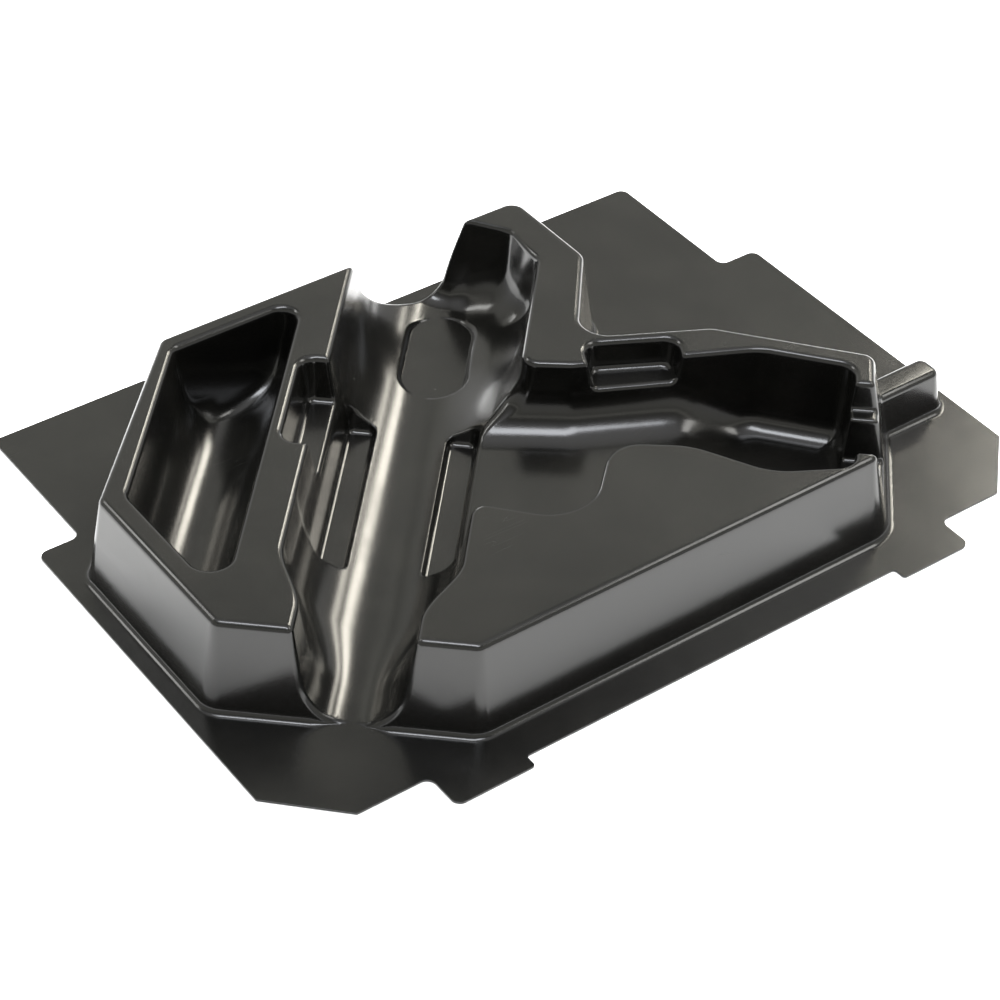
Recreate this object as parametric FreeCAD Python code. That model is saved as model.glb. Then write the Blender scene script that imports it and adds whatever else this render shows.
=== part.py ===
"""Thermoformed storage tray: one drafted sheet with recesses for a hand tool.

Frame: origin at the middle of the flange on its underside, X along the long
side, Y towards the back, Z up.  Sizes are in millimetres, angles in degrees.
The sheet is the space between two copies of one surface, the second copy
moved inwards by the sheet thickness (called skin in the functions below).
"""
import FreeCAD, Part
import math
import os

# Sheet
SHEET = 1.0
RISE = 41.0
DRAFT = 9.0
RIM_ROUND = 2.4
BASE_ROUND = 2.5

# Flange outline, measured from the middle of the tray
FLANGE_HALF_X = 187.5
FLANGE_REAR_HALF_X = 168.0
FLANGE_SIDE_STEP_Y = 67.0
FLANGE_REAR_Y = 140.5
FLANGE_REAR_MID_Y = 128.5
FLANGE_REAR_TAB_X = 92.0
FLANGE_CORNER_Y = -123.0
FLANGE_FRONT_Y = -134.5
FLANGE_TAB_Y = -140.5
FLANGE_TAB_IN_X = 92.5
FLANGE_TAB_OUT_X = 128.5
FLANGE_CHAMFER = 26.7
FLANGE_ROUND = 4.0
FLANGE_SMALL_ROUND = 1.5

# Tool axis across the tray: U runs along it, N to its left
AXIS_ANGLE = 47.9

# Raised body: outline of the top face as X, Y and corner radius
BODY_CHAMFER_U = -149.0
BODY_LEFT_X = -172.3
BODY_LEFT_Y = 39.5
BODY_FRONT_Y = -111.8
BODY_REAR_Y = 114.5
BODY_REAR_X = -99.5
BODY_ROUND = 5.0
BODY_RIGHT_SIDE = (
    (97.0, BODY_FRONT_Y, 5.0),
    (141.5, -60.6, 5.0),
    (97.0, -7.6, 10.0),
    (46.0, 19.0, 12.0),
    (83.7, 64.5, 8.0),
    (83.7, BODY_REAR_Y, 7.0),
)
BODY_RIGHT_DRAFT = 12.5

# Barrel trough: nose part, widening and main part
TROUGH_FLOOR = 1.6
NOSE_N = 45.1
NOSE_HALF = 23.2
MAIN_N = 44.7
MAIN_HALF = 34.6
WIDEN_FROM_U = -136.0
WIDEN_TO_U = -101.0
WIDEN_STATIONS = 5

# End wall across the back of the trough
END_WALL_ANGLE = 34.5
END_WALL_Y = 95.0
END_WALL_DRAFT = 2.5
END_WALL_ROUND = 10.0
END_WALL_CORNER_ROUND = 14.0
END_WALL_LENGTH = 80.0

# Head recess between the trough and the right block
HEAD_FLOOR = 8.5
HEAD_ROUND = 6.0
HEAD_DRAFT = 4.0
HEAD_X = 65.2
HEAD_Y = 73.0
HEAD_N = 0.3
HEAD_FROM_U = 12.0
HEAD_CORNER_ROUND = 9.0
HEAD_NEAR_ROUND = 4.0
HEAD_OVERLAP_N = 34.0

# Side slots in the trough, sizes at their floor
SLOT_FLOOR = 5.6
SLOT_FROM_U = -73.0
SLOT_TO_U = 14.0
SLOT_HALF = 27.4
SLOT_ROUND = 3.0
SLOT_CORNER_ROUND = 9.0
SLOT_INNER = 4.0

# Oval flat in the trough floor
OVAL_U = 74.2
OVAL_N = 41.2
OVAL_LENGTH = 57.0
OVAL_WIDTH = 27.0
OVAL_SLOPE = 30.0
OVAL_SIDE_FLAT = 0.1

# Ledge pocket on the left rim
LEDGE_FLOOR = 22.0
LEDGE_FROM_U = -40.0
LEDGE_TO_U = 14.5
LEDGE_IN_N = 64.7
LEDGE_OUT_N = 91.3
LEDGE_CORNER_ROUND = 7.0
LEDGE_ROUND = 2.5

# Left accessory pocket with a half-round bottom
POCKET_FLOOR = 4.0
POCKET_IN_N = 96.8
POCKET_OUT_N = 144.4
POCKET_RADIUS = 20.8
POCKET_TURN = 76.0
POCKET_X = -162.0
POCKET_Y = 106.0
POCKET_CORNER_ROUND = 7.0

# Grip recess: outline of its rim as X, Y and corner radius
GRIP_RIM = (
    (-65.7, -28.1, 6.0),
    (-21.3, -78.0, 22.0),
    (15.0, -44.0, 15.0),
    (40.5, -63.1, 35.0),
    (57.3, -94.3, 30.0),
    (89.9, -107.3, 9.0),
    (130.0, -61.5, 8.0),
    (104.0, -30.5, 25.0),
    (32.0, 4.5, 20.0),
    (1.0, 27.5, 6.0),
    (-20.0, 20.0, 6.0),
)
GRIP_DRAFT = 4.0
GRIP_FLOOR = 11.0
GRIP_SIDE_ROUND = 18.0
GRIP_SIDE_TURN = 84.0
GRIP_WALL_ANGLE = -26.6
GRIP_END_FLOOR = 3.0
GRIP_END_ROUND = 4.0
GRIP_END_SLOPE = 55.0
GRIP_END_CORNER_ROUND = 3.0
GRIP_END_RIM = ((50.0, -76.0), (87.0, -18.0))

# Upright corner of the middle block, between head recess and grip recess
BLOCK_CORNER = (15.0, 17.0)
BLOCK_ROUND = 6.0

# Clip ledge in the upper wall of the grip recess
CLIP_FLOOR = 28.5
CLIP_ROUND = 2.5
CLIP_RIM = ((31.1, -12.6, 5.0), (66.6, -31.2, 5.0), (80.5, -4.6, 7.0), (45.0, 14.0, 7.0))

# Cable outlet through the right wall
OUTLET_ANGLE = 49.0
OUTLET_MIDDLE = 4.4
OUTLET_HALF = 22.2
OUTLET_FLOOR = 29.0
OUTLET_STEP = 7.0
OUTLET_DEEP_FLOOR = 9.0
OUTLET_DRAFT = 5.0
OUTLET_ROUND = 2.0
OUTLET_FROM = 128.0
OUTLET_TO = 175.0
OUTLET_CORNER_ROUND = 4.0

# Rib on the right flange
RIB_RISE = 20.0
RIB_FROM_X = 100.0
RIB_TO_X = 178.0
RIB_FRONT_Y = -66.0
RIB_REAR_Y = -54.0
RIB_ROUND = 4.0

# Worked out; OVER and REACH carry cutting shapes past the tray, upwards and sideways
TOP = SHEET + RISE
OVER = 6.0
REACH = 300.0
UX = math.cos(math.radians(AXIS_ANGLE))
UY = math.sin(math.radians(AXIS_ANGLE))


def tangent(angle):
    """Sideways run of a drafted wall for each unit of height."""
    return math.tan(math.radians(angle))


def xy(u, n):
    """Plan position of a point given along (u) and across (n) the tool axis."""
    return (u * UX - n * UY, u * UY + n * UX)


def across(u, n, radius):
    """Outline corner given in tool-axis coordinates."""
    x, y = xy(u, n)
    return (x, y, radius)


def meet(p, d, q, e):
    """Crossing point of two lines given by a point and a direction each."""
    det = d[0] * e[1] - d[1] * e[0]
    k = ((q[0] - p[0]) * e[1] - (q[1] - p[1]) * e[0]) / det
    return (p[0] + k * d[0], p[1] + k * d[1])


def grown(corners, grow):
    """Outline with each side moved outwards by its own amount."""
    count = len(corners)
    sides = []
    for i in range(count):
        ax, ay, _ = corners[i]
        bx, by, _ = corners[(i + 1) % count]
        length = math.hypot(bx - ax, by - ay)
        dx, dy = (bx - ax) / length, (by - ay) / length
        sides.append(((ax + dy * grow[i], ay - dx * grow[i]), (dx, dy)))
    moved = []
    for i in range(count):
        p, d = sides[i - 1]
        q, e = sides[i]
        x, y = meet(p, d, q, e)
        change = (grow[i - 1] + grow[i]) / 2.0
        turn = d[0] * e[1] - d[1] * e[0]
        radius = corners[i][2] + (change if turn > 0 else -change)
        moved.append((x, y, max(radius, 0.3)))
    return moved


def outline(corners, grow, z):
    """Closed wire of lines and corner arcs at height z."""
    moved = grown(corners, grow)
    count = len(moved)
    ends = []
    for i in range(count):
        x, y, radius = moved[i]
        ax, ay, _ = moved[i - 1]
        bx, by, _ = moved[(i + 1) % count]
        la, lb = math.hypot(ax - x, ay - y), math.hypot(bx - x, by - y)
        da, db = ((ax - x) / la, (ay - y) / la), ((bx - x) / lb, (by - y) / lb)
        half = math.acos(max(-1.0, min(1.0, da[0] * db[0] + da[1] * db[1]))) / 2
        cut = radius / math.tan(half)
        mid = radius / math.sin(half) - radius
        bis = (da[0] + db[0], da[1] + db[1])
        size = math.hypot(bis[0], bis[1])
        ends.append((
            FreeCAD.Vector(x + da[0] * cut, y + da[1] * cut, z),
            FreeCAD.Vector(x + bis[0] / size * mid, y + bis[1] / size * mid, z),
            FreeCAD.Vector(x + db[0] * cut, y + db[1] * cut, z),
        ))
    edges = []
    for i in range(count):
        start, mid, stop = ends[i]
        edges.append(Part.Arc(start, mid, stop).toShape())
        edges.append(Part.makeLine(stop, ends[(i + 1) % count][0]))
    return Part.Wire(edges)


def walls(corners, drafts, levels, rim, lean, skin):
    """Drafted block between two levels: lean is -1 for material, 1 for space."""
    wires = []
    for z in levels:
        grow = [lean * ((z - rim) * tangent(d) + skin / math.cos(math.radians(d))) for d in drafts]
        wires.append(outline(corners, grow, z))
    return Part.makeLoft(wires, True, True)


def raised(corners, drafts, rim, skin):
    """Drafted block that stands on the flange, with the outline at its rim."""
    return walls(corners, drafts, (-OVER, rim - skin), rim, -1.0, skin)


def hollow(corners, draft, floor, skin, radius):
    """Drafted space with the outline at the top face and a rounded floor edge."""
    space = walls(corners, [draft] * len(corners), (floor - skin, TOP + OVER), TOP, 1.0, skin)
    return space.makeFillet(radius + skin, edges_at(space, floor - skin))


def edges_at(shape, z, border=None):
    """Edges that lie at one height, leaving out those on a border wire."""
    found = []
    for edge in shape.Edges:
        box = edge.BoundBox
        if not edge.Degenerated and abs(box.ZMin - z) < 0.01 and abs(box.ZMax - z) < 0.01:
            middle = edge.valueAt((edge.FirstParameter + edge.LastParameter) / 2.0)
            if border is None or border.distToShape(Part.Vertex(middle))[0] > 0.01:
                found.append(edge)
    return found


def channel_face(u, centre, half, floor, skin):
    """Cross-section of a round-bottomed channel between two drafted walls."""
    sine, cosine = math.sin(math.radians(DRAFT)), math.cos(math.radians(DRAFT))
    radius = cosine * (half - (TOP - floor) * tangent(DRAFT)) / (1.0 - sine)
    mid_z = floor + radius
    radius += skin
    top = half + OVER * tangent(DRAFT) + skin / cosine

    def at(n, z):
        x, y = xy(u, centre + n)
        return FreeCAD.Vector(x, y, z)

    left = at(radius * cosine, mid_z - radius * sine)
    right = at(-radius * cosine, mid_z - radius * sine)
    arc = Part.Arc(left, at(0.0, mid_z - radius), right).toShape()
    upper = [at(-top, TOP + OVER), at(top, TOP + OVER)]
    sides = [Part.makeLine(right, upper[0]), Part.makeLine(upper[0], upper[1]), Part.makeLine(upper[1], left)]
    return Part.Face(Part.Wire([arc] + sides))


def along(face, length):
    """Solid made by moving a cross-section along the tool axis."""
    return face.extrude(FreeCAD.Vector(UX * length, UY * length, 0))


def flange_corners():
    """Outline of the flange, symmetrical about the middle of the long side."""
    right = [
        (FLANGE_TAB_IN_X, FLANGE_FRONT_Y, FLANGE_SMALL_ROUND),
        (FLANGE_TAB_IN_X, FLANGE_TAB_Y, FLANGE_SMALL_ROUND),
        (FLANGE_TAB_OUT_X, FLANGE_TAB_Y, FLANGE_ROUND),
        (FLANGE_TAB_OUT_X, FLANGE_CORNER_Y, FLANGE_ROUND),
        (FLANGE_HALF_X - FLANGE_CHAMFER, FLANGE_CORNER_Y, FLANGE_SMALL_ROUND),
        (FLANGE_HALF_X, FLANGE_CORNER_Y + FLANGE_CHAMFER, FLANGE_SMALL_ROUND),
        (FLANGE_HALF_X, FLANGE_SIDE_STEP_Y, FLANGE_ROUND),
        (FLANGE_REAR_HALF_X, FLANGE_SIDE_STEP_Y, FLANGE_ROUND),
        (FLANGE_REAR_HALF_X, FLANGE_REAR_Y, FLANGE_ROUND),
        (FLANGE_REAR_TAB_X, FLANGE_REAR_Y, FLANGE_ROUND),
        (FLANGE_REAR_TAB_X, FLANGE_REAR_MID_Y, FLANGE_ROUND),
    ]
    return right + [(-x, y, r) for x, y, r in reversed(right)]


def base(skin):
    """Plate whose top face is the flange surface; it reaches below the sheet."""
    corners = flange_corners()
    plate = Part.Face(outline(corners, [skin * 3.0] * len(corners), -OVER))
    return plate.extrude(FreeCAD.Vector(0, 0, OVER + SHEET - skin))


def body_corners():
    """Outline of the raised body at its top face."""
    left_y = (BODY_CHAMFER_U - BODY_LEFT_X * UX) / UY
    front_x = (BODY_CHAMFER_U - BODY_FRONT_Y * UY) / UX
    left = [(BODY_LEFT_X, left_y, BODY_ROUND), (front_x, BODY_FRONT_Y, BODY_ROUND)]
    rear = [(BODY_REAR_X, BODY_REAR_Y, BODY_ROUND), (BODY_LEFT_X, BODY_LEFT_Y, BODY_ROUND)]
    return left + list(BODY_RIGHT_SIDE) + rear


def body(skin):
    """Raised body before the recesses are taken out."""
    corners = body_corners()
    drafts = [DRAFT] * len(corners)
    drafts[2] = BODY_RIGHT_DRAFT
    return raised(corners, drafts, TOP, skin)


def rib(skin):
    """Low rib running from the right wall out over the flange."""
    corners = [
        (RIB_FROM_X, RIB_FRONT_Y, RIB_ROUND),
        (RIB_TO_X, RIB_FRONT_Y, RIB_ROUND),
        (RIB_TO_X, RIB_REAR_Y, RIB_ROUND),
        (RIB_FROM_X, RIB_REAR_Y, RIB_ROUND),
    ]
    top = SHEET + RIB_RISE
    block = raised(corners, [DRAFT] * 4, top, skin)
    return block.makeFillet(RIM_ROUND - skin, edges_at(block, top - skin))


def trough(skin):
    """Barrel trough: narrow nose, smooth widening and main part."""
    nose_face = channel_face(WIDEN_FROM_U - REACH, NOSE_N, NOSE_HALF, TROUGH_FLOOR, skin)
    main_face = channel_face(WIDEN_TO_U, MAIN_N, MAIN_HALF, TROUGH_FLOOR, skin)
    stations = []
    for i in range(WIDEN_STATIONS):
        s = i / (WIDEN_STATIONS - 1)
        blend = s * s * (3.0 - 2.0 * s)
        u = WIDEN_FROM_U + s * (WIDEN_TO_U - WIDEN_FROM_U)
        centre = NOSE_N + blend * (MAIN_N - NOSE_N)
        half = NOSE_HALF + blend * (MAIN_HALF - NOSE_HALF)
        stations.append(channel_face(u, centre, half, TROUGH_FLOOR, skin).OuterWire)
    widening = Part.makeLoft(stations, True, False)
    return along(nose_face, REACH).fuse([widening, along(main_face, REACH)])


def barrel_limit(skin):
    """Space bounded by the right wall of the head recess and the end wall."""
    angle = math.radians(END_WALL_ANGLE)
    end_x = HEAD_X - END_WALL_LENGTH * math.sin(angle)
    end_y = END_WALL_Y + END_WALL_LENGTH * math.cos(angle)
    corners = [
        across(-REACH, HEAD_N, HEAD_CORNER_ROUND),
        (HEAD_X, HEAD_Y, HEAD_CORNER_ROUND),
        (HEAD_X, END_WALL_Y, END_WALL_CORNER_ROUND),
        (end_x, end_y, HEAD_CORNER_ROUND),
        across(-REACH, REACH, HEAD_CORNER_ROUND),
    ]
    return walls(corners, [END_WALL_DRAFT] * 5, (-OVER, TOP + OVER), TOP, 1.0, skin)


def closed_trough(skin):
    """Trough up to the end wall, with a round where the wall meets it."""
    space = trough(skin).common(barrel_limit(skin)).removeSplitter()
    foot = []
    for edge in space.Edges:
        box = edge.BoundBox
        if not edge.Degenerated and box.YMin > HEAD_Y and box.ZLength > 1.0 and box.ZMax < TOP:
            foot.append(edge)
    return space.makeFillet(END_WALL_ROUND + skin, foot)


def head_recess(skin):
    """Shallower recess for the tool's head, on the right of the trough."""
    plan = [(HEAD_FROM_U, -REACH), (REACH, -REACH), (REACH, HEAD_OVERLAP_N), (HEAD_FROM_U, HEAD_OVERLAP_N)]
    corners = [across(u, n, HEAD_NEAR_ROUND) for u, n in plan]
    space = walls(corners, [HEAD_DRAFT] * 4, (HEAD_FLOOR - skin, TOP + OVER), TOP, 1.0, skin)
    space = space.common(barrel_limit(skin))
    return space.makeFillet(HEAD_ROUND + skin, edges_at(space, HEAD_FLOOR - skin))


def slots(skin):
    """Two flat-bottomed slots beside the main part of the trough."""
    spaces = []
    for side in (1.0, -1.0):
        spread = (TOP - SLOT_FLOOR) * tangent(DRAFT)
        outer = MAIN_N + side * (SLOT_HALF + spread)
        inner = MAIN_N + side * SLOT_INNER
        low_u = SLOT_FROM_U - spread
        high_u = SLOT_TO_U + spread
        corners = [across(low_u, inner, SLOT_CORNER_ROUND), across(low_u, outer, SLOT_CORNER_ROUND),
                   across(high_u, outer, SLOT_CORNER_ROUND), across(high_u, inner, SLOT_CORNER_ROUND)]
        if side > 0:
            corners.reverse()
        spaces.append(hollow(corners, DRAFT, SLOT_FLOOR, skin, SLOT_ROUND))
    return spaces


def oval(skin):
    """Oval flat sunk to flange level in the floor of the trough."""
    half = OVAL_WIDTH / 2.0
    ends = (OVAL_U - OVAL_LENGTH / 2.0, OVAL_U + OVAL_LENGTH / 2.0)
    sides = (OVAL_N - half, OVAL_N + half)
    radius = half - OVAL_SIDE_FLAT
    plan = [across(ends[0], sides[0], radius), across(ends[1], sides[0], radius),
            across(ends[1], sides[1], radius), across(ends[0], sides[1], radius)]
    return walls(plan, [OVAL_SLOPE] * 4, (SHEET - skin, SHEET - skin + OVER), SHEET, 1.0, skin)


def ledge_pocket(skin):
    """Upper pocket on the left rim beside the trough."""
    corners = [
        across(LEDGE_FROM_U, LEDGE_IN_N, LEDGE_CORNER_ROUND),
        across(LEDGE_TO_U, LEDGE_IN_N, LEDGE_CORNER_ROUND),
        across(LEDGE_TO_U, LEDGE_OUT_N, LEDGE_CORNER_ROUND),
        across(LEDGE_FROM_U, LEDGE_OUT_N, LEDGE_CORNER_ROUND),
    ]
    return hollow(corners, DRAFT, LEDGE_FLOOR, skin, LEDGE_ROUND)


def accessory_pocket(skin):
    """Four-sided pocket with a half-round bottom in the left block."""
    corners = [
        (POCKET_X, (POCKET_OUT_N + POCKET_X * UY) / UX, POCKET_CORNER_ROUND),
        (POCKET_X, (POCKET_IN_N + POCKET_X * UY) / UX, POCKET_CORNER_ROUND),
        ((POCKET_Y * UX - POCKET_IN_N) / UY, POCKET_Y, POCKET_CORNER_ROUND),
        ((POCKET_Y * UX - POCKET_OUT_N) / UY, POCKET_Y, POCKET_CORNER_ROUND),
    ]
    space = walls(corners, [DRAFT] * 4, (POCKET_FLOOR - 2.0 * SHEET, TOP + OVER), TOP, 1.0, skin)
    middle = (POCKET_IN_N + POCKET_OUT_N) / 2.0
    radius = POCKET_RADIUS + skin

    def at(n, z):
        x, y = xy(-REACH, middle + n)
        return FreeCAD.Vector(x, y, z)

    def on_arc(turn):
        a = math.radians(turn)
        return at(radius * math.sin(a), POCKET_FLOOR + POCKET_RADIUS - radius * math.cos(a))

    arc = Part.Arc(on_arc(-POCKET_TURN), on_arc(0.0), on_arc(POCKET_TURN))
    shoulder = arc.EndPoint.z
    side, lid = 3.0 * radius, TOP + 2.0 * OVER
    rest = [arc.EndPoint, at(side, shoulder), at(side, lid), at(-side, lid), at(-side, shoulder),
            arc.StartPoint]
    section = Part.Face(Part.Wire([arc.toShape()] + list(Part.makePolygon(rest).Edges)))
    return space.common(along(section, 2.0 * REACH))


def grip_bed(skin):
    """Bed under the grip: flat floor that sweeps up to the upper wall."""
    angle = math.radians(GRIP_WALL_ANGLE)
    dx, dy = math.cos(angle), math.sin(angle)
    floor, radius = GRIP_FLOOR - skin, GRIP_SIDE_ROUND + skin
    foot = skin - (TOP - GRIP_FLOOR) * tangent(GRIP_DRAFT)
    origin_x, origin_y, _ = GRIP_RIM[8]

    def at(over_wall, z):
        x = origin_x - dy * over_wall - dx * REACH
        y = origin_y + dx * over_wall - dy * REACH
        return FreeCAD.Vector(x, y, z)

    def on_arc(turn):
        a = math.radians(turn)
        return at(foot - radius * (1.0 - math.sin(a)), floor + radius * (1.0 - math.cos(a)))

    arc = Part.Arc(on_arc(0.0), on_arc(GRIP_SIDE_TURN / 2.0), on_arc(GRIP_SIDE_TURN))
    wall = foot + radius
    rest = [arc.EndPoint, at(wall, arc.EndPoint.z), at(wall, -OVER), at(-REACH, -OVER), at(-REACH, floor),
            arc.StartPoint]
    section = Part.Face(Part.Wire([arc.toShape()] + list(Part.makePolygon(rest).Edges)))
    bed = section.extrude(FreeCAD.Vector(dx, dy, 0) * 2.0 * REACH)
    (ax, ay), (bx, by) = GRIP_END_RIM
    end = [(x, y, GRIP_END_CORNER_ROUND)
           for x, y in ((ax, -REACH), (REACH, -REACH), (REACH, REACH), (bx, by), (ax, ay))]
    return bed.cut(walls(end, [GRIP_END_SLOPE] * 5, (GRIP_END_FLOOR - skin, TOP), GRIP_FLOOR, 1.0, skin))


def grip_recess(skin):
    """Recess for the grip: shallow bed beside the trough, deeper at the far end."""
    space = hollow(GRIP_RIM, GRIP_DRAFT, GRIP_END_FLOOR, skin, GRIP_END_ROUND)
    return space.cut(grip_bed(skin))


def clip_ledge(skin):
    """Small ledge let into the upper wall of the grip recess."""
    return hollow(CLIP_RIM, DRAFT, CLIP_FLOOR, skin, CLIP_ROUND)


def outlet(skin):
    """Stepped outlet through the right wall at the end of the grip recess."""
    angle = math.radians(OUTLET_ANGLE)
    dx, dy = math.cos(angle), math.sin(angle)

    def opening(half, floor):
        near, far = OUTLET_MIDDLE - half, OUTLET_MIDDLE + half
        corners = [(s * dx + m * dy, s * dy - m * dx, OUTLET_CORNER_ROUND)
                   for s, m in ((near, OUTLET_FROM), (near, OUTLET_TO), (far, OUTLET_TO), (far, OUTLET_FROM))]
        return hollow(corners, OUTLET_DRAFT, floor, skin, OUTLET_ROUND)

    return [opening(OUTLET_HALF, OUTLET_FLOOR), opening(OUTLET_HALF - OUTLET_STEP, OUTLET_DEEP_FLOOR)]


def block_corner(solid, skin):
    """Upright edge of the middle block's corner."""
    corner = FreeCAD.Vector(*BLOCK_CORNER, TOP - skin)
    climbing = [edge for edge in solid.Edges if not edge.Degenerated and edge.BoundBox.ZLength > OVER]
    return [min(climbing, key=lambda edge: edge.distToShape(Part.Vertex(corner))[0])]


def form(skin):
    """Everything under the sheet surface; skin moves that surface inwards."""
    plate = base(skin)
    border = Part.makeCompound(edges_at(plate, SHEET - skin))
    solid = plate.fuse([body(skin), rib(skin)]).removeSplitter()
    solid = solid.makeFillet(BASE_ROUND + skin, edges_at(solid, SHEET - skin, border))
    spaces = [closed_trough(skin), head_recess(skin), ledge_pocket(skin), accessory_pocket(skin)]
    spaces += [grip_recess(skin), clip_ledge(skin)]
    solid = solid.cut(spaces).removeSplitter()
    solid = solid.makeFillet(BLOCK_ROUND - skin, block_corner(solid, skin))
    solid = solid.makeFillet(RIM_ROUND - skin, edges_at(solid, TOP - skin))
    return solid.cut([oval(skin)] + slots(skin) + outlet(skin)).removeSplitter()


def tray():
    """The sheet: everything under its upper surface less everything under its lower one."""
    return form(0.0).cut(form(SHEET)).removeSplitter()


if __name__ == "__main__":
    os.makedirs("parts", exist_ok=True)
    shape = tray()
    shape.exportStep("parts/tray.step")
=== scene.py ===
"""Thermoformed tool tray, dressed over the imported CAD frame.

The sheet is the level set of one signed distance, written as formulas in
millimetres: negative in the mould, zero on the upper face of the sheet and
minus one sheet thickness on its lower face.
"""

import logging
import math
from dataclasses import dataclass, field
from enum import Enum
from typing import Sequence

import bpy
import numpy as np
from mathutils import Matrix, Vector
from mathutils.geometry import delaunay_2d_cdt


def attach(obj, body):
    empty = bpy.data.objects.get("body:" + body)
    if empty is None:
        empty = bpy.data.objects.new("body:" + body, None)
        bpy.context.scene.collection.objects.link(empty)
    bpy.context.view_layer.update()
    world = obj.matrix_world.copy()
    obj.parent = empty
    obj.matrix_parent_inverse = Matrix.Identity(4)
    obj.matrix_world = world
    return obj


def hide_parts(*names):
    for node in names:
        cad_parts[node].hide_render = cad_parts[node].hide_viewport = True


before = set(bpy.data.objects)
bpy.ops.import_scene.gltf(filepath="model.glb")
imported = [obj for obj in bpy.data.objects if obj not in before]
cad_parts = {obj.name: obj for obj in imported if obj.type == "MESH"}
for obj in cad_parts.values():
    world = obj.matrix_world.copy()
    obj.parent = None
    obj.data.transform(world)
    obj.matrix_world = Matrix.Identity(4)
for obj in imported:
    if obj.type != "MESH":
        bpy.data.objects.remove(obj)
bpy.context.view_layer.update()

logging.basicConfig(level=logging.INFO, format="%(message)s")
LOG = logging.getLogger("tray")

Array = np.ndarray
MM = 0.001
# Margin in plan round a feature, the distance given past it, and the reach of walls that end out of sight.
NEAR = 12.0
FAR = 30.0
FIELD = 300.0


def blend_max(a: Array, b: Array, radius: Array | float) -> Array:
    """Larger of two distances, its edge rounded: a quarter circle of the radius joins the two.

    Args:
        a: first signed distance.
        b: second signed distance.
        radius: rounding radius.

    Returns:
        The signed distance of the shared part of both shapes.
    """
    corner = np.hypot(np.maximum(radius + a, 0.0), np.maximum(radius + b, 0.0))
    return np.minimum(-radius, np.maximum(a, b)) + corner


def blend_min(a: Array, b: Array, radius: Array | float) -> Array:
    """Smaller of two distances, its inner edge filled with a fillet of the radius.

    Args:
        a: first signed distance.
        b: second signed distance.
        radius: fillet radius.

    Returns:
        The signed distance of both shapes together.
    """
    corner = np.hypot(np.maximum(radius - a, 0.0), np.maximum(radius - b, 0.0))
    return np.maximum(radius, np.minimum(a, b)) - corner


def ramp(value: Array, start: float, end: float) -> Array:
    """Smooth step from 0 at start to 1 at end: three times the square less twice the cube."""
    t = np.clip((value - start) / (end - start), 0.0, 1.0)
    return t * t * (3.0 - 2.0 * t)


class Outline:
    """Closed plan outline of straight sides and corner arcs."""

    def __init__(self, corners: Sequence[tuple[float, float, float]]) -> None:
        """Works out the sides and arcs.

        Args:
            corners: corner points counter-clockwise as x, y and corner radius.
        """
        c = np.asarray(corners, float)
        p, radius = c[:, :2], c[:, 2]
        back = np.roll(p, 1, 0) - p
        ahead = np.roll(p, -1, 0) - p
        back /= np.linalg.norm(back, axis=1)[:, None]
        ahead /= np.linalg.norm(ahead, axis=1)[:, None]
        half = np.arccos(np.clip((back * ahead).sum(1), -1.0, 1.0)) / 2.0
        cut = radius / np.tan(half)
        self.start = p + back * cut[:, None]
        self.end = p + ahead * cut[:, None]
        bisector = back + ahead
        bisector /= np.linalg.norm(bisector, axis=1)[:, None]
        self.centre = p + bisector * (radius / np.sin(half))[:, None]
        self.radius = radius
        self.towards = -bisector
        self.reach = np.cos(math.pi / 2.0 - half)
        self.way = np.sign(-back[:, 0] * ahead[:, 1] + back[:, 1] * ahead[:, 0])
        self.low = p.min(0)
        self.high = p.max(0)

    def distance(self, x: Array, y: Array) -> Array:
        """Signed plan distance: the nearest side or arc, negative inside.

        Args:
            x: x of the points.
            y: y of the points.

        Returns:
            The distance of each point.
        """
        best = np.full(np.broadcast(x, y).shape, np.inf)
        ends = np.roll(self.start, -1, 0)
        for i in range(len(self.radius)):
            d = ends[i] - self.end[i]
            length = max(float(np.hypot(*d)), 1e-9)
            d = d / length
            qx, qy = x - self.end[i, 0], y - self.end[i, 1]
            t = np.clip(qx * d[0] + qy * d[1], 0.0, length)
            side = qx * d[1] - qy * d[0]
            value = np.copysign(np.hypot(qx - t * d[0], qy - t * d[1]), side)
            best = np.where(np.abs(value) < np.abs(best), value, best)
            qx, qy = x - self.centre[i, 0], y - self.centre[i, 1]
            away = np.hypot(qx, qy)
            within = qx * self.towards[i, 0] + qy * self.towards[i, 1] >= away * self.reach[i]
            value = (away - self.radius[i]) * self.way[i]
            best = np.where(within & (np.abs(value) < np.abs(best)), value, best)
        return best

    def points(self, step: float) -> tuple[Array, Array]:
        """Points along the outline: arcs cut into equal turns, sides left whole.

        Args:
            step: longest chord on an arc.

        Returns:
            The points, counter-clockwise, and the outward direction at each.
        """
        parts, away = [], []
        for i in range(len(self.radius)):
            a = self.start[i] - self.centre[i]
            b = self.end[i] - self.centre[i]
            turn = math.atan2(a[0] * b[1] - a[1] * b[0], float(a @ b))
            count = max(2, int(abs(turn) * self.radius[i] / step) + 2)
            angle = math.atan2(a[1], a[0]) + np.linspace(0.0, turn, count)
            ring = np.stack([np.cos(angle), np.sin(angle)], 1)
            parts.append(self.centre[i] + ring * self.radius[i])
            away.append(ring * self.way[i])
        return np.concatenate(parts), np.concatenate(away)


@dataclass(frozen=True)
class Draft:
    """Slope of a formed wall, measured from upright."""

    degrees: float

    @property
    def tan(self) -> float:
        """Sideways run for each unit of height."""
        return math.tan(math.radians(self.degrees))

    @property
    def cos(self) -> float:
        """Share of the plan distance that counts across the wall."""
        return math.cos(math.radians(self.degrees))

    @property
    def sin(self) -> float:
        """Share of the height that counts across the wall."""
        return math.sin(math.radians(self.degrees))


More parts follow.
